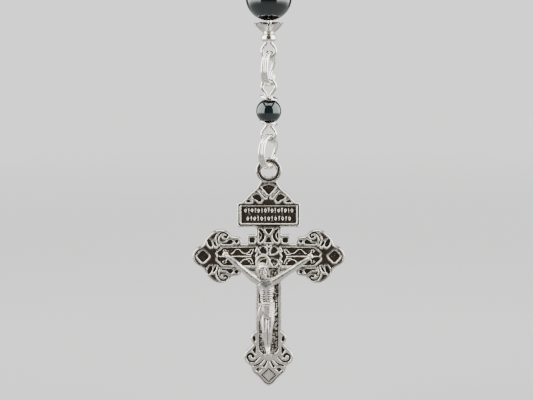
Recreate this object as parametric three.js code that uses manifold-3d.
// A one-decade rosary hanging from its ring: ten beads on wire pins in a loop, a centre medal,
// an Our Father bead between flower caps, a small accent bead between domed discs, and a crucifix
// with a separate figure. Millimetres, +Z up, +X to the wearer's left as seen from the front,
// and the fronts of the medal and the crucifix face -Y. The origin is the inside of the top of
// the hanging ring, where the peg or hook carries the rosary.

import * as THREE from "three";
import { mergeVertices } from "three/addons/utils/BufferGeometryUtils.js";
import Module from "manifold-3d";

const wasm = await Module();
wasm.setup();

// ---- Driving dimensions ----------------------------------------------------------------------

const RUNNING_GAP = 0.3;

const WIRE_RADIUS = 0.4;
const EYE_RADIUS = 1.5;
const EYE_SPACING = 2.1;
const BORE_RADIUS = WIRE_RADIUS + RUNNING_GAP;

const HANGING_RING_RADIUS = 4.5;
const HANGING_WIRE_RADIUS = 0.5;
const HANGING_EYE_X = 1.1;
const HANGING_EYE_DROP = 0.52;

const DECADE_BEAD_RADIUS = 4;
const DECADE_EYE_GAP = 1.85;
const DECADE_PIN_LENGTH = 2 * (DECADE_BEAD_RADIUS + DECADE_EYE_GAP);
const TOP_BEAD_CLEARANCE = 0.15;
const BEADS_PER_STRAND = 5;

const LUG_RADIUS = 1.4;
const LUG_WIRE_RADIUS = 0.45;
const LUG_X = 4.5;
const LUG_DROP = 0.45;
const BOTTOM_LUG_RADIUS = 1.6;
const MEDAL_THICKNESS = 1.8;
const MEDAL_HALF_WIDTH = 6.9;
const MEDAL_TOP_BELOW_LUGS = 1.1;
const MEDAL_HEIGHT = 15.6;

const RING_RADIUS = 3.6;
const RING_PITCH = 0.85;
const RING_SEAT = 0.42;
const RING_SPLIT_HALF_ANGLE = THREE.MathUtils.degToRad(30);

const FATHER_BEAD_RADIUS = 5.2;
const FATHER_EYE_DISTANCE = 12;
const CAP_RIM_DISTANCE = 5.8;
const COLLAR_DISTANCE = 8.2;
const COLLAR_HEIGHT = 1.75;
const COLLAR_RADIUS = 1.7;

const ACCENT_BEAD_RADIUS = 2.85;
const ACCENT_UPPER_EYE = 5.65;
const ACCENT_LOWER_EYE = 5.2;
const DISC_RADIUS = 2.1;
const DISC_DOME = 0.55;
const DISC_THICKNESS = 0.25;
const UPPER_DISC_HEIGHT = 2.85;
const LOWER_DISC_HEIGHT = 2.45;
const UPPER_DISC_TILT = THREE.MathUtils.degToRad(11);
const LOWER_DISC_TILT = THREE.MathUtils.degToRad(12);

const BAIL_SEAT = 0.65;
const BAIL_RADIUS = 2.9;
const BAIL_HOLE_RADIUS = 1.6;
const BAIL_THICKNESS = 1.5;
const CROSS_THICKNESS = 1.8;
const RECESS_DEPTH = 0.45;
const ARM_CENTRE_Z = -19.5;
const FIGURE_GAP = 0.05;

// ---- Colours -----------------------------------------------------------------------------------

const ONYX = 0x0b0f0f;
const BRIGHT_SILVER = 0xe0ddd2;
const ANTIQUE_SILVER = 0xbcb6a8;

function onyx() {
  return new THREE.MeshStandardMaterial({ color: ONYX, roughness: 0.06, metalness: 0 });
}

function metal(color, roughness) {
  return new THREE.MeshStandardMaterial({ color, roughness, metalness: 1 });
}

// ---- Geometry helpers --------------------------------------------------------------------------

// Welds a three.js geometry into a closed triangle mesh and hands it to manifold.
function solidOf(geometry) {
  const bare = geometry.clone();
  bare.deleteAttribute("normal");
  bare.deleteAttribute("uv");
  const welded = mergeVertices(bare, 1e-4);
  const index = [];
  for (let i = 0; i < welded.index.count; i += 3) {
    const [a, b, c] = [0, 1, 2].map((k) => welded.index.getX(i + k));
    if (a !== b && b !== c && c !== a) index.push(a, b, c);
  }
  return new wasm.Manifold(new wasm.Mesh({
    numProp: 3,
    vertProperties: Float32Array.from(welded.attributes.position.array),
    triVerts: Uint32Array.from(index),
  }));
}

function geometryOf(solid) {
  const mesh = solid.getMesh();
  const geometry = new THREE.BufferGeometry();
  geometry.setAttribute("position", new THREE.BufferAttribute(mesh.vertProperties, 3));
  geometry.setIndex(new THREE.BufferAttribute(mesh.triVerts, 1));
  geometry.computeVertexNormals();
  return geometry;
}

function joined(geometries) {
  return geometries.map(solidOf).reduce((whole, next) => whole.add(next));
}

function regularPolygon(radius, sides) {
  const corners = Array.from({ length: sides }, (_, i) => {
    const angle = (2 * Math.PI * i) / sides;
    return new THREE.Vector2(radius * Math.cos(angle), radius * Math.sin(angle));
  });
  return new THREE.Shape(corners);
}

function wireAlong(curve, radius, sides, steps) {
  return new THREE.ExtrudeGeometry(regularPolygon(radius, sides), { steps, extrudePath: curve });
}

// A wire ring in the XZ plane.
function flatRing(radius, wireRadius, sides, steps) {
  return new THREE.TorusGeometry(radius, wireRadius, sides, steps).rotateX(Math.PI / 2);
}

// A round bar along Z from one height to another.
function uprightRod(radius, fromZ, toZ, sides) {
  const rod = new THREE.CylinderGeometry(radius, radius, Math.abs(toZ - fromZ), sides);
  return rod.rotateX(Math.PI / 2).translate(0, 0, (fromZ + toZ) / 2);
}

// A solid of revolution about Z from a closed profile of [radius, height] pairs,
// listed anticlockwise with radius to the right and height up.
function turned(profile, segments) {
  const points = [...profile, profile[0]].map(([radius, height]) => new THREE.Vector2(radius, height));
  return new THREE.LatheGeometry(points, segments).rotateX(Math.PI / 2);
}

// A flat plate in the XZ plane, from the shape's (x, z) outline, between two depths along Y.
function plate(shape, frontY, backY, curveSegments = 6) {
  const depth = backY - frontY;
  const slab = new THREE.ExtrudeGeometry(shape, { depth, bevelEnabled: false, curveSegments });
  return slab.rotateX(Math.PI / 2).translate(0, backY, 0);
}

function ellipsoid(centre, radii, segments = 10, rings = 6) {
  return new THREE.SphereGeometry(1, segments, rings).scale(...radii).translate(...centre);
}

// A tapered bar with round ends between two points.
function limb(from, to, fromRadius, toRadius) {
  const start = new THREE.Vector3(...from);
  const end = new THREE.Vector3(...to);
  const along = end.clone().sub(start);
  const bar = new THREE.CylinderGeometry(toRadius, fromRadius, along.length(), 8);
  bar.translate(0, along.length() / 2, 0);
  const turn = new THREE.Quaternion().setFromUnitVectors(
    new THREE.Vector3(0, 1, 0), along.clone().normalize());
  bar.applyQuaternion(turn).translate(...from);
  return [bar, ellipsoid(from, [fromRadius, fromRadius, fromRadius], 8, 4),
    ellipsoid(to, [toRadius, toRadius, toRadius], 8, 4)];
}

function mirroredInX(points) {
  return points.map(([x, z]) => [-x, z]).reverse();
}

const rosary = new THREE.Group();

function addPiece(name, geometry, material, position = [0, 0, 0], slant = 0) {
  const piece = new THREE.Mesh(geometry, material);
  piece.name = name;
  piece.position.set(...position);
  piece.rotation.y = slant;
  rosary.add(piece);
}

// ---- Wire pins and beads -----------------------------------------------------------------------

// A straight pin with a closed eye at each end. The upper eye's centre is at the origin and the
// pin runs down -Z; the eyes lie in the XZ plane, or across it.
function eyePin(length, across) {
  const upperEye = flatRing(EYE_RADIUS, WIRE_RADIUS, 6, 14);
  const lowerEye = upperEye.clone().translate(0, 0, -length);
  const shaft = uprightRod(WIRE_RADIUS, -EYE_RADIUS, EYE_RADIUS - length, 6);
  const pin = geometryOf(joined([upperEye, lowerEye, shaft]));
  return across ? pin.rotateZ(Math.PI / 2) : pin;
}

// A round bead with a straight bore along Z, centred at the origin.
function boredBead(radius, rings, segments) {
  const poleAngle = Math.asin(BORE_RADIUS / radius);
  const profile = Array.from({ length: rings + 1 }, (_, i) => {
    const angle = poleAngle - Math.PI / 2 + ((Math.PI - 2 * poleAngle) * i) / rings;
    return [radius * Math.cos(angle), radius * Math.sin(angle)];
  });
  return turned(profile, segments);
}

// The split ring: two turns of wire side by side, with the crossing from one turn to the other in
// the gap between the wire's two ends. The ring lies across the XZ plane, facing along X.
class SplitRingCurve extends THREE.Curve {
  getPoint(t) {
    const split = RING_SPLIT_HALF_ANGLE;
    const angle = split + t * (4 * Math.PI - 2 * split);
    const intoCrossing = (angle - (2 * Math.PI - split)) / (2 * split);
    const crossing = THREE.MathUtils.smoothstep(intoCrossing, 0, 1);
    return new THREE.Vector3(
      RING_PITCH * (crossing - 0.5),
      RING_RADIUS * Math.cos(angle),
      RING_RADIUS * Math.sin(angle),
    );
  }
}

function splitRing(turn) {
  return wireAlong(new SplitRingCurve(), WIRE_RADIUS, 6, 50).rotateZ(turn);
}

// ---- Decade loop ---------------------------------------------------------------------------------

const downFrom = (slant) => new THREE.Vector3(Math.sin(slant), 0, -Math.cos(slant));

// The two top pins slant outwards, just far enough for their beads to clear each other.
const topEyeRise = Math.sqrt(HANGING_RING_RADIUS ** 2 - HANGING_EYE_X ** 2);
const hangingRingZ = HANGING_WIRE_RADIUS - HANGING_RING_RADIUS;
const topBeadReach = HANGING_EYE_DROP + DECADE_PIN_LENGTH / 2;
const topSlant = Math.asin((DECADE_BEAD_RADIUS + TOP_BEAD_CLEARANCE - HANGING_EYE_X) / topBeadReach);

// Below them each strand runs straight down to its lug on the medal.
const looseSeat = EYE_RADIUS - 2 * WIRE_RADIUS - 0.1;
const ringWire = new THREE.Vector3(HANGING_EYE_X, 0, hangingRingZ - topEyeRise);
const bendPoint = ringWire.clone().addScaledVector(
  downFrom(topSlant), HANGING_EYE_DROP + DECADE_PIN_LENGTH + EYE_RADIUS);
const lowerRun = looseSeat + (BEADS_PER_STRAND - 1) * DECADE_PIN_LENGTH
  + (BEADS_PER_STRAND - 2) * EYE_SPACING + EYE_RADIUS;
const lowerSlant = -Math.asin((bendPoint.x - LUG_X) / lowerRun);
const strandEnd = bendPoint.clone().addScaledVector(downFrom(lowerSlant), lowerRun);
const lugZ = strandEnd.z - LUG_DROP;

function strandEyes() {
  const eyes = [ringWire.clone().addScaledVector(downFrom(topSlant), HANGING_EYE_DROP)];
  const secondEye = bendPoint.clone().addScaledVector(downFrom(lowerSlant), looseSeat);
  for (let i = 0; i < BEADS_PER_STRAND - 1; i += 1) {
    const drop = i * (DECADE_PIN_LENGTH + EYE_SPACING);
    eyes.push(secondEye.clone().addScaledVector(downFrom(lowerSlant), drop));
  }
  return eyes;
}

function addStrand(side, beadNumbers) {
  strandEyes().forEach((eye, i) => {
    const slant = i === 0 ? topSlant : lowerSlant;
    const middle = eye.clone().addScaledVector(downFrom(slant), DECADE_PIN_LENGTH / 2);
    const number = String(beadNumbers[i]).padStart(2, "0");
    const turn = -side * slant;
    addPiece(`decade_pin_${number}`, eyePin(DECADE_PIN_LENGTH, i % 2 === 0),
      metal(BRIGHT_SILVER, 0.25), [side * eye.x, 0, eye.z], turn);
    addPiece(`decade_bead_${number}`, boredBead(DECADE_BEAD_RADIUS, 8, 14),
      onyx(), [side * middle.x, 0, middle.z], turn);
  });
}

addPiece("hanging_ring", flatRing(HANGING_RING_RADIUS, HANGING_WIRE_RADIUS, 8, 36),
  metal(BRIGHT_SILVER, 0.22), [0, 0, hangingRingZ]);
addStrand(-1, [5, 4, 3, 2, 1]);
addStrand(1, [6, 7, 8, 9, 10]);

// ---- Centre medal --------------------------------------------------------------------------------

// A rounded triangle standing on its point, from its top edge at height 0.
function medalOutline(inset) {
  const halfWidth = MEDAL_HALF_WIDTH - inset;
  const top = -inset;
  const bottom = inset - MEDAL_HEIGHT;
  const shoulder = halfWidth * 0.62;
  const widest = -MEDAL_HEIGHT * 0.27;
  const outline = new THREE.Shape();
  outline.moveTo(0, top - 0.5);
  outline.quadraticCurveTo(shoulder * 0.5, top, shoulder, top);
  outline.quadraticCurveTo(halfWidth, top, halfWidth, widest);
  outline.bezierCurveTo(halfWidth, widest - 4.6, 3.2 - inset / 2, bottom + 0.9, 0, bottom);
  outline.bezierCurveTo(inset / 2 - 3.2, bottom + 0.9, -halfWidth, widest - 4.6, -halfWidth, widest);
  outline.quadraticCurveTo(-halfWidth, top, -shoulder, top);
  outline.quadraticCurveTo(-shoulder * 0.5, top, 0, top - 0.5);
  return outline;
}

// A rosette of petals round a small boss, standing on the medal's sunk field.
function medalRosette(centreZ, fieldY, frontY) {
  const petals = Array.from({ length: 8 }, (_, i) => {
    const petal = ellipsoid([0, fieldY, 2.3], [0.72, fieldY - frontY, 1.35], 6, 4);
    return petal.rotateY((Math.PI * i) / 4).translate(0, 0, centreZ);
  });
  return [...petals, ellipsoid([0, fieldY, centreZ], [1, fieldY - frontY + 0.1, 1], 8, 6)];
}

function centreMedal() {
  const frontY = -MEDAL_THICKNESS / 2;
  const backY = MEDAL_THICKNESS / 2;
  const fieldY = frontY + RECESS_DEPTH;
  const topZ = -MEDAL_TOP_BELOW_LUGS;
  const body = solidOf(plate(medalOutline(0), frontY, backY, 7).translate(0, 0, topZ));
  const field = solidOf(plate(medalOutline(0.9), frontY - 1, fieldY, 6).translate(0, 0, topZ));
  const lug = flatRing(LUG_RADIUS, LUG_WIRE_RADIUS, 6, 16);
  const bottomLug = flatRing(BOTTOM_LUG_RADIUS, LUG_WIRE_RADIUS, 6, 16);
  const lugs = joined([
    lug.clone().translate(-LUG_X, 0, 0),
    lug.clone().translate(LUG_X, 0, 0),
    bottomLug.translate(0, 0, bottomLugZ - lugZ),
  ]);
  const rosette = joined(medalRosette(topZ - MEDAL_HEIGHT * 0.4, fieldY, frontY));
  return geometryOf(body.subtract(field).add(lugs).add(rosette));
}

const bottomLugZ = lugZ - MEDAL_TOP_BELOW_LUGS - MEDAL_HEIGHT - BOTTOM_LUG_RADIUS + 0.1;
addPiece("centre_medal", centreMedal(), metal(ANTIQUE_SILVER, 0.34), [0, 0, lugZ]);

// ---- Pendant -------------------------------------------------------------------------------------

const ringSpan = 2 * (RING_RADIUS + RING_SEAT);
const fatherEyeZ = bottomLugZ - ringSpan;
const fatherBeadZ = fatherEyeZ - FATHER_EYE_DISTANCE;
const fatherLowerEyeZ = fatherBeadZ - FATHER_EYE_DISTANCE;
const accentEyeZ = fatherLowerEyeZ - ringSpan;
const accentBeadZ = accentEyeZ - ACCENT_UPPER_EYE;
const accentLowerEyeZ = accentBeadZ - ACCENT_LOWER_EYE;
const bailZ = accentLowerEyeZ - RING_SEAT - 2 * RING_RADIUS - BAIL_SEAT;

// Each split ring has turned a little out of the edge-on position.
const ringPlaces = [
  ["upper_split_ring", bottomLugZ, -20],
  ["middle_split_ring", fatherLowerEyeZ, -15],
  ["crucifix_split_ring", accentLowerEyeZ, -26],
];
for (const [name, eyeZ, turnDegrees] of ringPlaces) {
  const turn = THREE.MathUtils.degToRad(turnDegrees);
  const centreZ = eyeZ - RING_SEAT - RING_RADIUS;
  addPiece(name, splitRing(turn), metal(BRIGHT_SILVER, 0.22), [0, 0, centreZ]);
}

// A flower-shaped cup whose open rim faces up to the bead, with its rim at height 0.
function beadCap() {
  return turned([
    [BORE_RADIUS, -2.3], [1.25, -2.3], [1.25, -1.95], [1.7, -1.6], [2.5, -1], [3.4, 0],
    [3.1, 0.05], [2.35, -0.65], [1.5, -1.3], [BORE_RADIUS, -1.5],
  ], 18);
}

// A polished barrel-shaped collar with its top at height 0.
function collar() {
  const half = COLLAR_HEIGHT / 2;
  return turned([
    [BORE_RADIUS, -COLLAR_HEIGHT], [COLLAR_RADIUS - 0.5, -COLLAR_HEIGHT],
    [COLLAR_RADIUS - 0.12, -half - 0.45], [COLLAR_RADIUS, -half],
    [COLLAR_RADIUS - 0.12, -half + 0.45], [COLLAR_RADIUS - 0.5, 0], [BORE_RADIUS, 0],
  ], 16);
}

function addFatherGroup() {
  addPiece("father_pin", eyePin(2 * FATHER_EYE_DISTANCE, false),
    metal(BRIGHT_SILVER, 0.25), [0, 0, fatherEyeZ]);
  addPiece("father_bead", boredBead(FATHER_BEAD_RADIUS, 10, 18), onyx(), [0, 0, fatherBeadZ]);
  for (const [end, side] of [["upper", 1], ["lower", -1]]) {
    const facing = side > 0 ? Math.PI : 0;
    addPiece(`father_cap_${end}`, beadCap().rotateX(facing),
      metal(ANTIQUE_SILVER, 0.3), [0, 0, fatherBeadZ + side * CAP_RIM_DISTANCE]);
    addPiece(`father_collar_${end}`, collar().rotateX(facing),
      metal(BRIGHT_SILVER, 0.18), [0, 0, fatherBeadZ + side * COLLAR_DISTANCE]);
  }
}

// A thin domed disc, hollow side down, with its rim at height 0, tilted about its centre.
function domedDisc(tilt) {
  const bore = BORE_RADIUS + 0.05;
  const steps = 3;
  const domeAt = (radius) => DISC_DOME * (1 - (radius / DISC_RADIUS) ** 2);
  const radii = Array.from({ length: steps + 1 }, (_, i) => bore + ((DISC_RADIUS - bore) * i) / steps);
  const under = radii.map((radius) => [radius, domeAt(radius)]);
  const over = radii.map((radius) => [radius, domeAt(radius) + DISC_THICKNESS]).reverse();
  return turned([...under, ...over], 18).rotateY(tilt);
}

function addAccentGroup() {
  addPiece("accent_pin", eyePin(ACCENT_UPPER_EYE + ACCENT_LOWER_EYE, false),
    metal(BRIGHT_SILVER, 0.25), [0, 0, accentEyeZ]);
  addPiece("accent_bead", boredBead(ACCENT_BEAD_RADIUS, 8, 14), onyx(), [0, 0, accentBeadZ]);
  addPiece("accent_disc_upper", domedDisc(UPPER_DISC_TILT),
    metal(BRIGHT_SILVER, 0.2), [0, 0, accentBeadZ + UPPER_DISC_HEIGHT]);
  addPiece("accent_disc_lower", domedDisc(-LOWER_DISC_TILT).rotateX(Math.PI),
    metal(BRIGHT_SILVER, 0.2), [0, 0, accentBeadZ - LOWER_DISC_HEIGHT]);
}

addFatherGroup();
addAccentGroup();

// ---- Crucifix: the cross -------------------------------------------------------------------------

// Everything below is measured from the centre of the bail's hole.

// The head of the cross: a gable over the inscription plaque, then a neck and a square block.
const headEdge = [
  [1.7, -2.3], [2.7, -4.1], [4, -5.3], [5.4, -6.4], [7.05, -7.3], [7.05, -12.9],
  [2.8, -12.9], [2.8, -14.9], [4.8, -14.9], [4.8, -16.9],
];

// The upper edge of an arm, out to its tip: a small lobe, a scroll lobe and the long slope.
const armEdge = [
  [6.2, -16.9], [6.8, -15.6], [8, -15.3], [8.9, -14.3], [9.9, -13.65], [11, -13.4],
  [12.2, -13.8], [13.1, -15], [14.5, -16.2], [15.6, -17.3], [16.7, -18.4],
];
const ARM_TIP_X = 17.3;

// The shaft below the arms, with its block, ears, scroll lobes and the point at the foot.
const shaftEdge = [
  [4.8, -23.4], [3.9, -24.3], [2.8, -24.3], [2.8, -37.2], [4.05, -38.4], [3.6, -40],
  [4.5, -41.2], [5.5, -42.4], [5.5, -43.7], [4.5, -44.9], [4, -46.1], [3, -47.1], [1.5, -48.7],
];
const FOOT_TIP_Z = -49.65;

function crossOutline() {
  const armUnderside = armEdge.map(([x, z]) => [x, 2 * ARM_CENTRE_Z - z]).reverse();
  const rightSide = [
    ...headEdge, ...armEdge, [ARM_TIP_X, ARM_CENTRE_Z], ...armUnderside, ...shaftEdge,
  ];
  const corners = [...rightSide, [0, FOOT_TIP_Z], ...mirroredInX(rightSide)];
  return new THREE.Shape(corners.map(([x, z]) => new THREE.Vector2(x, z)));
}

function panel(corners) {
  return new THREE.Shape(corners.map(([x, z]) => new THREE.Vector2(x, z)));
}

function rectangle(halfWidth, topZ, bottomZ) {
  return panel([[-halfWidth, topZ], [halfWidth, topZ], [halfWidth, bottomZ], [-halfWidth, bottomZ]]);
}

function ovalCell(x, z, halfWidth, halfHeight, tilt = 0) {
  const cell = new THREE.Shape();
  cell.absellipse(x, z, halfWidth, halfHeight, 0, 2 * Math.PI, false, tilt);
  return cell;
}

function armPanel(side) {
  const upper = [[3.1, -17.8], [10.4, -17.8], [11.2, -18.2], [12.1, ARM_CENTRE_Z]];
  const lower = upper.slice(0, -1).map(([x, z]) => [x, 2 * ARM_CENTRE_Z - z]).reverse();
  return panel([...upper, ...lower].map(([x, z]) => [side * x, z]));
}

// The openwork cells, given on the right-hand side: x, z, half width, half height, tilt.
const upperCells = [
  [2.8, -6.2, 1.1, 0.55, -0.5],
  [9.3, -16.2, 0.9, 0.5, 0.5],
  [10.6, -15, 0.85, 0.85, 0],
  [12.3, -16.6, 0.5, 0.9, 0.6],
  [14, -17.5, 0.45, 0.8, 0.7],
  [7.2, -16.25, 0.45, 0.45, 0],
];
const shaftCells = [
  [3.2, -38.5, 0.3, 0.6, 0],
  [4, -42.9, 0.8, 0.7, 0],
  [2.35, -45.6, 0.5, 0.7, 0.5],
  [0.85, -44.4, 0.25, 0.7, 0.35],
];

function sunkPanels() {
  const shapes = [
    panel([[-1.75, -4.1], [0, -3.4], [1.75, -4.1], [0, -5.9]]),
    rectangle(6.15, -7.95, -12.05),
    rectangle(2.1, -13.2, -16.4),
    rectangle(2, -22.3, -41.6),
    armPanel(1),
    armPanel(-1),
  ];
  for (const side of [1, -1]) {
    for (const [x, z, halfWidth, halfHeight, tilt] of upperCells) {
      shapes.push(ovalCell(side * x, z, halfWidth, halfHeight, side * tilt));
      if (x > 6) {
        const lowerZ = 2 * ARM_CENTRE_Z - z;
        shapes.push(ovalCell(side * x, lowerZ, halfWidth, halfHeight, -side * tilt));
      }
    }
    for (const [x, z, halfWidth, halfHeight, tilt] of shaftCells) {
      shapes.push(ovalCell(side * x, z, halfWidth, halfHeight, side * tilt));
    }
    shapes.push(panel([
      [side * 13.2, ARM_CENTRE_Z], [side * 14.9, ARM_CENTRE_Z + 1.8],
      [side * 16.5, ARM_CENTRE_Z], [side * 14.9, ARM_CENTRE_Z - 1.8],
    ]));
  }
  return shapes;
}

// Raised ornament inside the panels: a four-petal rosette at the crossing, a small cross of bars in
// the neck, two rows of lozenges on the plaque and a faceted diamond at the foot.
function raisedOrnament(frontY, floorY) {
  const height = floorY - frontY;
  const rosette = [0, 1, 2, 3].map((quarter) => {
    const petal = ellipsoid([0, floorY, 1.35], [0.75, height, 1.1], 8, 6);
    return petal.rotateY(((quarter + 0.5) * Math.PI) / 2).translate(0, 0, ARM_CENTRE_Z);
  });
  const plaqueRows = [-9.15, -10.9].flatMap((z) => Array.from({ length: 7 }, (_, i) => {
    const lozenge = new THREE.CylinderGeometry(0.35, 0.75, height, 4);
    return lozenge.scale(1, 1, 0.8).translate((i - 3) * 1.65, (floorY + frontY) / 2, z);
  }));
  const neckBars = [1, -1].map((lean) => {
    const bar = new THREE.BoxGeometry(0.4, height, 3.4);
    return bar.rotateY(lean * 0.55).translate(0, (floorY + frontY) / 2, -14.8);
  });
  return [...rosette, ...plaqueRows, ...neckBars];
}

function crucifixCross() {
  const frontY = -CROSS_THICKNESS / 2;
  const backY = CROSS_THICKNESS / 2;
  const floorY = frontY + RECESS_DEPTH;
  const bailShape = new THREE.Shape();
  bailShape.absarc(0, 0, BAIL_RADIUS, 0, 2 * Math.PI);
  const bail = plate(bailShape, -BAIL_THICKNESS / 2, BAIL_THICKNESS / 2, 12);
  const hole = new THREE.CylinderGeometry(BAIL_HOLE_RADIUS, BAIL_HOLE_RADIUS, 4, 24);
  let cross = solidOf(plate(crossOutline(), frontY, backY)).add(solidOf(bail));
  cross = cross.subtract(solidOf(hole));
  for (const shape of sunkPanels()) {
    cross = cross.subtract(solidOf(plate(shape, frontY - 1, floorY, 5)));
  }
  return geometryOf(cross.add(joined(raisedOrnament(frontY, floorY + 0.1))));
}

// ---- Crucifix: the figure ------------------------------------------------------------------------

const figureBackY = -CROSS_THICKNESS / 2 - FIGURE_GAP;

function figureHead() {
  const y = figureBackY - 1.5;
  return [
    ellipsoid([-1.4, y - 0.1, -22.6], [1.05, 1.15, 1.5]),
    ellipsoid([-1.4, y + 0.5, -22.2], [1.45, 1.1, 1.8]),
    ellipsoid([-1.5, y - 0.35, -24.1], [0.75, 0.7, 0.85], 8, 5),
    ellipsoid([-1.4, y - 1.2, -22.75], [0.22, 0.28, 0.4], 6, 4),
    ...limb([-2.4, y + 0.5, -22.4], [-2.8, y + 0.7, -25], 0.6, 0.45),
    ...limb([-0.4, y + 0.5, -22.4], [0.2, y + 0.7, -25], 0.6, 0.45),
  ];
}

function figureTorso() {
  const y = figureBackY - 0.55;
  return [
    ...limb([-2.9, y - 0.2, -25.4], [1.4, y - 0.2, -25.5], 0.85, 0.85),
    ellipsoid([-0.6, y - 0.3, -27], [1.85, 1.25, 2.1]),
    ellipsoid([-0.4, y - 0.1, -29.2], [1.4, 1, 2]),
    ellipsoid([-0.35, y - 0.15, -31.4], [1.75, 1.25, 2]),
    ellipsoid([-1.7, y - 0.3, -32.6], [0.8, 1, 1.8]),
  ];
}

function figureArms() {
  const y = figureBackY - 0.6;
  return [
    ...limb([-3, y, -25.2], [-6.2, y, -22.3], 0.72, 0.58),
    ...limb([-6.2, y, -22.3], [-9, y, -19.9], 0.58, 0.42),
    ellipsoid([-9.7, y, -19.3], [0.85, 0.4, 0.5], 6, 4),
    ...limb([1.4, y, -25.3], [5, y, -22.8], 0.72, 0.58),
    ...limb([5, y, -22.8], [8.6, y, -20.3], 0.58, 0.42),
    ellipsoid([9.3, y, -19.7], [0.85, 0.4, 0.5], 6, 4),
  ];
}

function figureLegs() {
  const y = figureBackY - 0.6;
  return [
    ...limb([-1, y, -32.6], [-0.9, y - 0.6, -36.7], 0.95, 0.68),
    ...limb([0.4, y, -32.6], [0.15, y - 0.45, -36.7], 0.95, 0.68),
    ...limb([-0.9, y - 0.6, -36.7], [-0.35, y - 0.1, -40.3], 0.66, 0.42),
    ...limb([0.15, y - 0.45, -36.7], [0, y - 0.1, -40.2], 0.66, 0.42),
    ...limb([-0.2, y - 0.15, -40.3], [-0.1, y - 0.45, -41.9], 0.5, 0.38),
    new THREE.BoxGeometry(1.7, 1.1, 1).translate(-0.1, figureBackY - 0.3, -42.5),
  ];
}

// The figure is cast with a flat back, so whatever reaches behind that plane is cut away.
function crucifixFigure() {
  const body = joined([...figureHead(), ...figureTorso(), ...figureArms(), ...figureLegs()]);
  const behind = new THREE.BoxGeometry(60, 10, 60).translate(0, figureBackY + 5, -30);
  return geometryOf(body.subtract(solidOf(behind)));
}

addPiece("crucifix_cross", crucifixCross(), metal(ANTIQUE_SILVER, 0.34), [0, 0, bailZ]);
addPiece("crucifix_figure", crucifixFigure(), metal(BRIGHT_SILVER, 0.28), [0, 0, bailZ]);

export default rosary;
